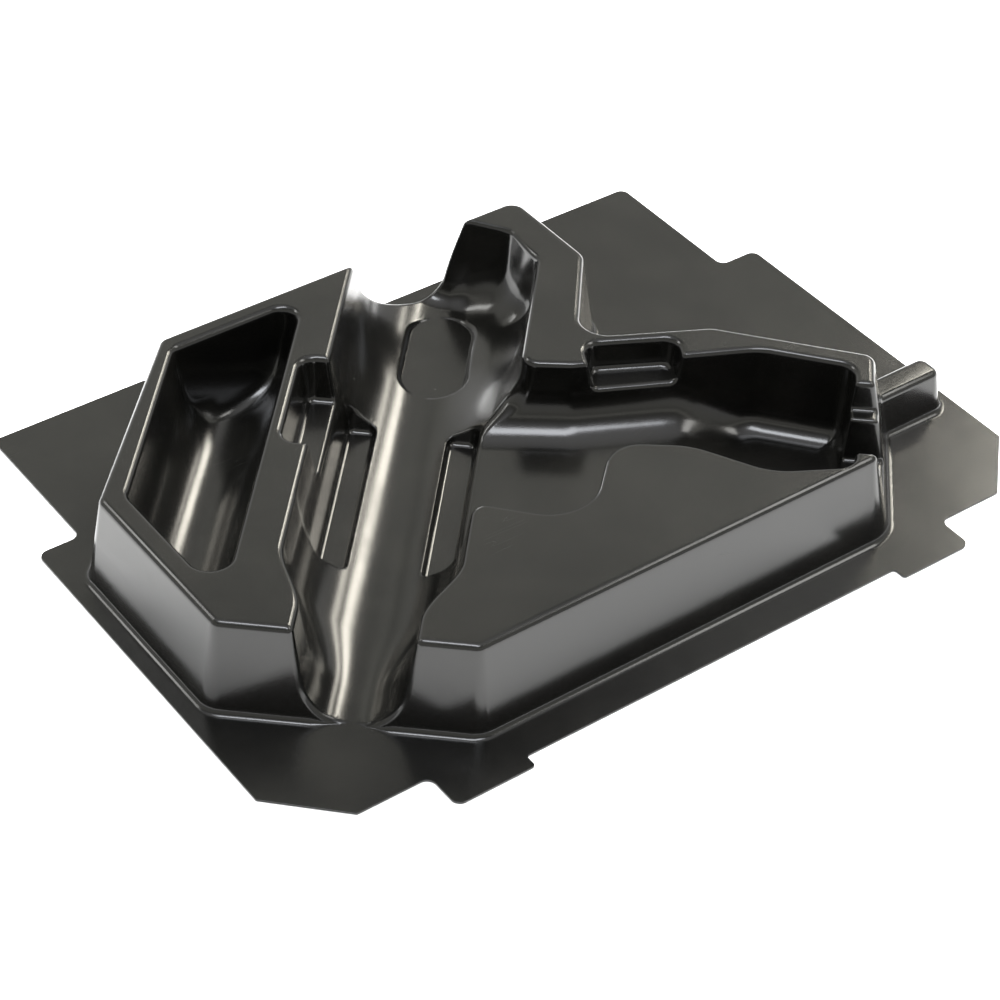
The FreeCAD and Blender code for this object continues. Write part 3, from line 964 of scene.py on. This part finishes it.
@dataclass
class Tray:
    """The formed sheet: upper and lower skins joined around the flange's cut edge."""

    step: float = 0.8
    slab: int = 12
    margin: float = 4.0
    low: tuple[float, float, float] = (-186.0, -124.5, -2.1)
    high: tuple[float, float, float] = (187.2, 127.5, 43.5)
    form: Form = field(default_factory=Form)
    flange: Flange = field(default_factory=Flange)

    def __post_init__(self) -> None:
        """Works out the form on a regular grid, a few sheets of it at a time."""
        axes = [np.arange(a, b, self.step) for a, b in zip(self.low, self.high)]
        self.grid = np.empty([len(a) for a in axes], np.float32)
        for i in range(0, len(axes[0]), self.slab):
            part = slice(i, i + self.slab)
            x, y, z = np.meshgrid(axes[0][part], axes[1], axes[2], indexing="ij", sparse=True)
            self.grid[part] = self.form.distance(x, y, z)

    def skin(self, face: Face) -> tuple[Array, Array]:
        """One face of the body and rib, with its border in the flange plane.

        Args:
            face: face of the sheet.

        Returns:
            Points and triangles, facing away from the mould on both faces.
        """
        level, keep = face.value
        points, quads = net(self.grid - level)
        points = points * self.step + self.low
        inside = self.form.foot(points[:, 0], points[:, 1]) < self.margin
        quads = quads[inside[quads].all(1)]
        used, quads = np.unique(quads, return_inverse=True)
        quads = quads.reshape(-1, 4)
        points = self.form.settle(points[used], level, 2)
        triangles = np.concatenate([quads[:, [0, 1, 2]], quads[:, [0, 2, 3]]])
        points, triangles = thinned(points, triangles, keep)
        points = self.form.settle(points, level)
        points[rim_of(triangles), 2] = DATUM.sheet + level
        return points, triangles

    def build(self) -> bpy.types.Object:
        """Joins the skins and the cut edge to one closed mesh.

        Returns:
            The tray.
        """
        upper, upper_faces = self.skin(Face.UPPER)
        lower, lower_faces = self.skin(Face.LOWER)
        rings, ring_normals = self.flange.rings()
        count = rings.shape[1]
        start = np.cumsum([0, len(upper), len(lower)])
        ring = start[2] + np.arange(4 * count).reshape(4, count)
        a, b = ring[:-1], np.roll(ring, -1, 1)[:-1]
        c, d = ring[1:], np.roll(ring, -1, 1)[1:]
        strip = np.stack([a, c, d, a, d, b], -1).reshape(-1, 3)
        faces = [upper_faces, lower_faces[:, ::-1] + start[1], strip]
        for skin, skin_faces, edge, first, turn in ((upper, upper_faces, 0, 0, 1),
                                                    (lower, lower_faces, 3, start[1], -1)):
            border = rim_of(skin_faces)
            sheet = span(rings[edge][:, :2], skin[border, :2])
            faces.append(np.concatenate([ring[edge], border + first])[sheet][:, ::turn])
        normals = [self.form.probe(upper)[1], -self.form.probe(lower)[1], ring_normals.reshape(-1, 3)]
        points = np.concatenate([upper, lower, rings.reshape(-1, 3)]) * MM
        mesh = bpy.data.meshes.new("tray_sheet")
        mesh.from_pydata(points, [], np.concatenate(faces))
        mesh.normals_split_custom_set_from_vertices(np.concatenate(normals).tolist())
        piece = bpy.data.objects.new("tray_sheet", mesh)
        bpy.context.scene.collection.objects.link(piece)
        LOG.info("tray_sheet: %d triangles", len(mesh.polygons))
        return piece


class Sheet:
    """Nodes laid out in one tree, with short calls to add, set and join them."""

    def __init__(self, tree: bpy.types.NodeTree) -> None:
        """Keeps the tree."""
        self.tree = tree

    def add(self, kind: str, /, **settings: object) -> bpy.types.Node:
        """Adds a node.

        Args:
            kind: node type without its ShaderNode prefix.
            settings: properties of the node.

        Returns:
            The node.
        """
        node = self.tree.nodes.new("ShaderNode" + kind)
        for name, value in settings.items():
            setattr(node, name, value)
        return node

    def feed(self, socket: bpy.types.NodeSocket, value: object) -> None:
        """Joins an output to a socket, or sets the socket's own value.

        Args:
            socket: input to feed.
            value: output socket, or a plain value.
        """
        if isinstance(value, bpy.types.NodeSocket):
            self.tree.links.new(value, socket)
        else:
            socket.default_value = value

    def noise(self, place: object, scale: object, detail: float, bend: float = 0.0) -> bpy.types.NodeSocket:
        """Noise texture's value.

        Args:
            place: position it reads.
            scale: waves for each metre.
            detail: number of finer layers.
            bend: distortion.

        Returns:
            The value output.
        """
        node = self.add("TexNoise")
        for name, value in (("Vector", place), ("Scale", scale), ("Detail", detail), ("Distortion", bend)):
            self.feed(node.inputs[name], value)
        return node.outputs["Fac"]

    def ramp(self, value: object, start: object, end: object) -> bpy.types.NodeSocket:
        """Smooth step from 0 at start to 1 at end.

        Args:
            value: value it reads.
            start: value that gives 0.
            end: value that gives 1.

        Returns:
            The result output.
        """
        node = self.add("MapRange", interpolation_type="SMOOTHSTEP")
        for name, given in (("Value", value), ("From Min", start), ("From Max", end)):
            self.feed(node.inputs[name], given)
        return node.outputs["Result"]

    def sum(self, operation: str, *values: object) -> bpy.types.NodeSocket:
        """Math node on one to three values.

        Args:
            operation: name of the operation.
            values: values in the order of the node's sockets.

        Returns:
            The value output.
        """
        node = self.add("Math", operation=operation)
        for socket, value in zip(node.inputs, values):
            self.feed(socket, value)
        return node.outputs["Value"]


@dataclass(frozen=True)
class Effect:
    """Shader node group with number inputs and mask outputs."""

    name: str
    takes: tuple[str, ...]
    gives: tuple[str, ...]

    def wire(self, sheet: Sheet, place: bpy.types.NodeSocket, given: Sequence[bpy.types.NodeSocket],
             ) -> Sequence[bpy.types.NodeSocket]:
        """Lays the nodes between the group's inputs and outputs.

        Args:
            sheet: node tree to lay them in.
            place: position in Object coordinates.
            given: the group's inputs.

        Returns:
            One output for each of the group's outputs.
        """
        raise NotImplementedError

    def group(self) -> bpy.types.NodeTree:
        """Makes the group, which reads Object coordinates.

        Returns:
            The node group.
        """
        tree = bpy.data.node_groups.new(self.name, "ShaderNodeTree")
        for names, way in ((self.takes, "INPUT"), (self.gives, "OUTPUT")):
            for name in names:
                tree.interface.new_socket(name, in_out=way, socket_type="NodeSocketFloat")
        sheet = Sheet(tree)
        start, end = tree.nodes.new("NodeGroupInput"), tree.nodes.new("NodeGroupOutput")
        place = sheet.add("TexCoord").outputs["Object"]
        for socket, value in zip(end.inputs, self.wire(sheet, place, start.outputs)):
            sheet.feed(socket, value)
        return tree


@dataclass(frozen=True)
class MouldedGrain(Effect):
    """Fine grain of the sheet and the slow waviness of formed plastic."""

    pits: float = -0.5
    bend: float = 0.3

    def wire(self, sheet: Sheet, place: bpy.types.NodeSocket, given: Sequence[bpy.types.NodeSocket],
             ) -> Sequence[bpy.types.NodeSocket]:
        """Grain is fine noise less the pits of a cell pattern; waviness is slow noise.

        Args:
            sheet: node tree to lay them in.
            place: position in Object coordinates.
            given: the group's inputs.

        Returns:
            One output for each of the group's outputs.
        """
        fine, slow = given[0], given[1]
        cells = sheet.add("TexVoronoi")
        sheet.feed(cells.inputs["Vector"], place)
        sheet.feed(cells.inputs["Scale"], fine)
        grain = sheet.sum("MULTIPLY_ADD", cells.outputs["Distance"], self.pits, sheet.noise(place, fine, 3.0))
        return grain, sheet.noise(place, slow, 1.5, self.bend)


@dataclass(frozen=True)
class HandlingMarks(Effect):
    """Smudges, fine scratches and specks of dust left by handling."""

    smudged: tuple[float, float] = (0.52, 0.7)
    smudge_bend: float = 0.8
    smudge_grain: float = 160.0
    scratch_turn: tuple[float, float, float] = (0.3, 0.2, math.radians(38.0))
    scratch_stretch: tuple[float, float, float] = (22.0, 320.0, 120.0)
    scratch_width: float = 0.006
    scratched: tuple[float, float] = (0.69, 0.75)
    scratched_scale: float = 26.0
    dusted: tuple[float, float] = (0.9, 1.0)
    dust_size: float = 0.045
    dust_core: float = 0.6

    def wire(self, sheet: Sheet, place: bpy.types.NodeSocket, given: Sequence[bpy.types.NodeSocket],
             ) -> Sequence[bpy.types.NodeSocket]:
        """Smudge is patchy noise; a scratch is a thin level line of stretched noise; dust is a cell's middle.

        Args:
            sheet: node tree to lay them in.
            place: position in Object coordinates.
            given: the group's inputs.

        Returns:
            One output for each of the group's outputs.
        """
        patches = sheet.ramp(sheet.noise(place, given[0], 3.0, self.smudge_bend), *self.smudged)
        smudge = sheet.sum("MULTIPLY", patches, sheet.noise(place, self.smudge_grain, 4.0))
        turn = sheet.add("Mapping")
        sheet.feed(turn.inputs["Vector"], place)
        turn.inputs["Rotation"].default_value = self.scratch_turn
        turn.inputs["Scale"].default_value = self.scratch_stretch
        streaks = sheet.noise(turn.outputs["Vector"], 1.0, 0.0)
        line = sheet.sum("ABSOLUTE", sheet.sum("SUBTRACT", streaks, 0.5))
        rare = sheet.ramp(sheet.noise(place, self.scratched_scale, 1.0), *self.scratched)
        scratch = sheet.sum("MULTIPLY", sheet.ramp(line, self.scratch_width, 0.0), rare)
        cells = sheet.add("TexVoronoi")
        sheet.feed(cells.inputs["Vector"], place)
        sheet.feed(cells.inputs["Scale"], given[1])
        pick = sheet.add("SeparateColor")
        sheet.feed(pick.inputs["Color"], cells.outputs["Color"])
        size = sheet.sum("MULTIPLY", sheet.ramp(pick.outputs["Red"], *self.dusted), self.dust_size)
        dust = sheet.ramp(cells.outputs["Distance"], size, sheet.sum("MULTIPLY", size, self.dust_core))
        return smudge, scratch, dust


@dataclass(frozen=True)
class BlackPlastic:
    """Satin black formed sheet: grain, waviness, smudges, scratches and dust.

    Scales are waves for each metre, and the two depths are in metres.
    """

    colour: tuple[float, float, float] = (0.0024, 0.0024, 0.0022)
    faded: tuple[float, float, float] = (0.0042, 0.0041, 0.0036)
    dusty: tuple[float, float, float] = (0.12, 0.118, 0.11)
    fade_scale: float = 34.0
    fade_from: float = 0.35
    fade_to: float = 0.7
    scratch_light: float = 0.03
    roughness: float = 0.155
    flat_roughness: float = 0.035
    flat_from: float = 0.97
    flat_to: float = 0.999
    smudge_roughness: float = 0.1
    scratch_roughness: float = 0.12
    mottle_roughness: float = 0.03
    mottle_scale: float = 420.0
    grain_scale: float = 1500.0
    wave_scale: float = 38.0
    smudge_scale: float = 13.0
    dust_scale: float = 170.0
    grain_depth: float = 0.000012
    wave_depth: float = 0.00012

    def effects(self, sheet: Sheet) -> tuple[bpy.types.Node, bpy.types.Node]:
        """Places the two effects with this plastic's scales.

        Args:
            sheet: the material's nodes.

        Returns:
            The grain node and the handling marks node.
        """
        grain = MouldedGrain("moulded_grain", ("Grain Scale", "Wave Scale"), ("Grain", "Wave"))
        marks = HandlingMarks("handling_marks", ("Smudge Scale", "Dust Scale"), ("Smudge", "Scratch", "Dust"))
        placed = tuple(sheet.add("Group", node_tree=effect.group()) for effect in (grain, marks))
        scales = ((self.grain_scale, self.wave_scale), (self.smudge_scale, self.dust_scale))
        for node, values in zip(placed, scales):
            for socket, value in zip(node.inputs, values):
                socket.default_value = value
        return placed

    def tone(self, sheet: Sheet, place: bpy.types.NodeSocket, marks: bpy.types.Node) -> bpy.types.NodeSocket:
        """Black that fades in patches, with pale dust and scratches over it.

        Args:
            sheet: the material's nodes.
            place: position in Object coordinates.
            marks: handling marks node.

        Returns:
            The colour.
        """
        fade = sheet.add("Mix", data_type="RGBA")
        patches = sheet.noise(place, self.fade_scale, 5.0)
        sheet.feed(fade.inputs["Factor"], sheet.ramp(patches, self.fade_from, self.fade_to))
        fade.inputs[6].default_value = (*self.colour, 1.0)
        fade.inputs[7].default_value = (*self.faded, 1.0)
        dusted = sheet.add("Mix", data_type="RGBA")
        light = sheet.sum("MULTIPLY_ADD", marks.outputs["Scratch"], self.scratch_light, marks.outputs["Dust"])
        sheet.feed(dusted.inputs["Factor"], light)
        sheet.feed(dusted.inputs[6], fade.outputs[2])
        dusted.inputs[7].default_value = (*self.dusty, 1.0)
        return dusted.outputs[2]

    def gloss(self, sheet: Sheet, place: bpy.types.NodeSocket, marks: bpy.types.Node) -> bpy.types.NodeSocket:
        """Roughness: a base, more on level faces, under smudges and scratches, and a fine mottle.

        Args:
            sheet: the material's nodes.
            place: position in Object coordinates.
            marks: handling marks node.

        Returns:
            The roughness.
        """
        split = sheet.add("SeparateXYZ")
        sheet.feed(split.inputs[0], sheet.add("NewGeometry").outputs["Normal"])
        flat = sheet.ramp(split.outputs["Z"], self.flat_from, self.flat_to)
        rough = sheet.sum("MULTIPLY_ADD", flat, self.flat_roughness, self.roughness)
        rough = sheet.sum("MULTIPLY_ADD", marks.outputs["Smudge"], self.smudge_roughness, rough)
        rough = sheet.sum("MULTIPLY_ADD", marks.outputs["Scratch"], self.scratch_roughness, rough)
        mottle = sheet.noise(place, self.mottle_scale, 4.0)
        return sheet.sum("MULTIPLY_ADD", mottle, self.mottle_roughness, rough)

    def material(self) -> bpy.types.Material:
        """Makes the material.

        Returns:
            The material, whose shader takes colour, roughness and normal from the two effects.
        """
        made = bpy.data.materials.new("black_plastic")
        made.use_nodes = True
        sheet = Sheet(made.node_tree)
        shader = made.node_tree.nodes["Principled BSDF"]
        grain, marks = self.effects(sheet)
        place = sheet.add("TexCoord").outputs["Object"]
        sheet.feed(shader.inputs["Base Color"], self.tone(sheet, place, marks))
        sheet.feed(shader.inputs["Roughness"], self.gloss(sheet, place, marks))
        wave, fine = sheet.add("Bump"), sheet.add("Bump")
        wave.inputs["Distance"].default_value = self.wave_depth
        fine.inputs["Distance"].default_value = self.grain_depth
        sheet.feed(wave.inputs["Height"], grain.outputs["Wave"])
        sheet.feed(fine.inputs["Height"], grain.outputs["Grain"])
        sheet.feed(fine.inputs["Normal"], wave.outputs["Normal"])
        sheet.feed(shader.inputs["Normal"], fine.outputs["Normal"])
        return made


@dataclass(frozen=True)
class SoftBox:
    """Rectangular soft light that faces the tray, placed by compass and height angles.

    middle is the direction of its middle and end that of the middle of one side, both in
    degrees, and wide is the angle between the two sides that run along that line.
    """

    name: str
    middle: tuple[float, float]
    end: tuple[float, float]
    wide: float
    glow: float
    tint: tuple[float, float, float] = (1.0, 1.0, 1.0)
    reach: float = 5.0
    glossy: bool = True

    @staticmethod
    def toward(compass: float, height: float) -> Vector:
        """Direction of the two angles."""
        a, e = math.radians(compass), math.radians(height)
        return Vector((math.cos(a) * math.cos(e), math.sin(a) * math.cos(e), math.sin(e)))

    def hang(self) -> None:
        """Adds the light."""
        away, end = self.toward(*self.middle), self.toward(*self.end)
        along = end - away * end.dot(away)
        data = bpy.data.lights.new(self.name, "AREA")
        data.shape = "RECTANGLE"
        data.size = 2.0 * along.length * self.reach
        data.size_y = 2.0 * math.tan(math.radians(self.wide / 2.0)) * self.reach
        data.energy = self.glow * math.pi * data.size * data.size_y
        data.color = self.tint
        lamp = bpy.data.objects.new(self.name, data)
        along.normalize()
        turn = Matrix((along, away.cross(along), away)).transposed().to_4x4()
        lamp.matrix_world = Matrix.Translation(away * self.reach) @ turn
        lamp.visible_glossy, lamp.visible_camera = self.glossy, False
        bpy.context.scene.collection.objects.link(lamp)


@dataclass
class Studio:
    """White floor, soft lights and the camera."""

    place: tuple[float, float, float] = (-0.55013, -0.70894, 0.75428)
    turn: tuple[float, float, float] = (49.4293, -1.6473, -36.0782)
    lens: float = 101.032
    boxes: tuple[SoftBox, ...] = (
        SoftBox("window", (26.8, 37.4), (34.8, 36.0), 6.5, 25.0, (1.0, 0.95, 0.83)),
        SoftBox("window_left", (15.5, 28.8), (23.0, 27.0), 5.0, 13.0, (1.0, 0.95, 0.83)),
        SoftBox("over", (232.0, 77.0), (156.0, 73.0), 13.0, 13.0, (0.92, 0.95, 1.0)),
        SoftBox("left", (119.0, 44.0), (131.0, 37.0), 9.0, 8.0, (1.0, 1.0, 0.97)),
        SoftBox("right", (-30.0, 50.0), (-48.0, 42.0), 12.0, 7.0, (1.0, 0.99, 0.95)),
        SoftBox("fill", (35.0, 42.0), (62.0, 42.0), 38.0, 28.0, glossy=False))
    sky: tuple[tuple[float, float], ...] = (
        (0.0, 1.0), (0.5, 0.9), (0.59, 0.45), (0.625, 1.4),
        (0.67, 1.4), (0.69, 0.42), (0.74, 0.3), (1.0, 0.7))
    sky_tint: tuple[float, float, float] = (1.0, 0.995, 0.9)
    sky_tint_from: float = 0.4
    sky_strength: float = 1.4
    floor_reach: float = 4.0
    floor_grey: float = 0.92

    def camera(self) -> None:
        """Sets the camera at the photograph's viewpoint."""
        data = bpy.data.cameras.new("camera")
        data.sensor_width = 36.0
        data.lens = self.lens
        data.clip_end = 20.0
        seen = bpy.data.objects.new("camera", data)
        seen.location = self.place
        seen.rotation_euler = [math.radians(a) for a in self.turn]
        bpy.context.scene.collection.objects.link(seen)
        bpy.context.scene.camera = seen

    def floor(self) -> None:
        """Lays a white floor under the tray."""
        mesh = bpy.data.meshes.new("floor")
        r = self.floor_reach
        mesh.from_pydata([(-r, -r, 0), (r, -r, 0), (r, r, 0), (-r, r, 0)], [], [(0, 1, 2, 3)])
        floor = bpy.data.objects.new("floor", mesh)
        made = bpy.data.materials.new("floor")
        made.use_nodes = True
        shader = made.node_tree.nodes["Principled BSDF"]
        shader.inputs["Base Color"].default_value = (self.floor_grey, self.floor_grey, self.floor_grey, 1.0)
        mesh.materials.append(made)
        bpy.context.scene.collection.objects.link(floor)

    def lights(self) -> None:
        """Hangs the soft boxes and gives the room its brightness by height."""
        for box in self.boxes:
            box.hang()
        scene = bpy.context.scene
        scene.world = scene.world or bpy.data.worlds.new("studio")
        scene.world.use_nodes = True
        tree = scene.world.node_tree
        place = tree.nodes.new("ShaderNodeTexCoord")
        split = tree.nodes.new("ShaderNodeSeparateXYZ")
        curve = tree.nodes.new("ShaderNodeValToRGB")
        tree.links.new(place.outputs["Generated"], split.inputs[0])
        tree.links.new(split.outputs["Z"], curve.inputs["Fac"])
        tree.links.new(curve.outputs["Color"], tree.nodes["Background"].inputs["Color"])
        tree.nodes["Background"].inputs["Strength"].default_value = self.sky_strength
        for i, (height, glow) in enumerate(self.sky):
            stop = curve.color_ramp.elements[i] if i < 1 else curve.color_ramp.elements.new(height)
            tint = self.sky_tint if height > self.sky_tint_from else (1.0, 1.0, 1.0)
            stop.position, stop.color = height, (*(glow * t / self.sky_strength for t in tint), 1.0)
        scene.view_settings.view_transform = "Standard"


def main() -> None:
    """Builds and dresses the tray, then the studio."""
    piece = Tray().build()
    piece.data.materials.append(BlackPlastic().material())
    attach(piece, "root")
    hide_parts("tray")
    studio = Studio()
    studio.floor()
    studio.lights()
    studio.camera()


if __name__ == "__main__":
    main()
